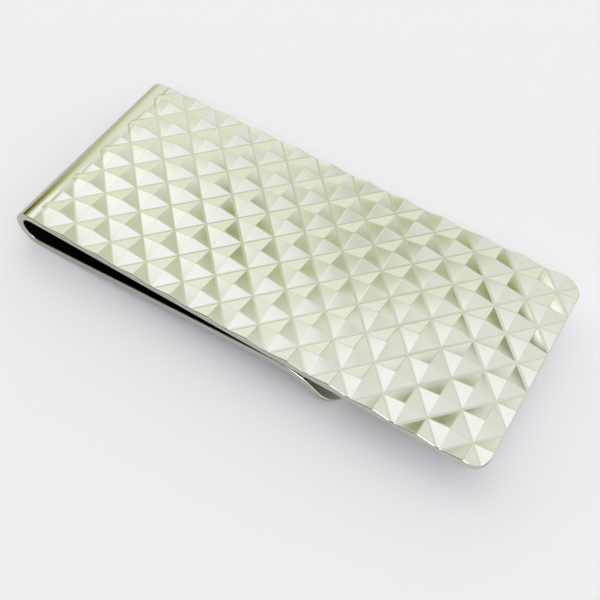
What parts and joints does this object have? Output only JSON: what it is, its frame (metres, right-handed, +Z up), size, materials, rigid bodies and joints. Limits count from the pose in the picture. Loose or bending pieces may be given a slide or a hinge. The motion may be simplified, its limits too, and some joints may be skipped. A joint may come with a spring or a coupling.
{
  "type": "money clip",
  "caption": "Folded spring-metal money clip: flat front plate pressed with a grid of low square pyramids, and a springy tongue behind it with a flared lip.",
  "frame": {"origin": "middle of the clip's footprint, on the plane it stands on", "axes": "+X runs from the fold to the free end of the plate, +Y across the clip, +Z up through the patterned face"},
  "size_m": [0.057, 0.0244, 0.0054],
  "materials": {
    "pressed_plate": "bright pressed facets, mirror polished and plated",
    "polished_strip": "smooth mirror polish, plated"
  },
  "bodies": {
    "plate": {"front_plate": "pressed_plate", "upper_fold": "polished_strip"},
    "tongue": {"lower_fold": "polished_strip", "spring_tongue": "polished_strip", "grip_crest": "polished_strip", "lead_in_lip": "polished_strip"}
  },
  "joints": [
    {"name": "tongue_flex", "type": "hinge", "parent": "plate", "child": "tongue", "pos_m": [-0.0285, 0, 0.00255], "axis": [0, 1, 0], "range_deg": [0, 6], "stiffness_Nm_per_rad": 7.5, "springref_deg": -0.29}
  ]
}
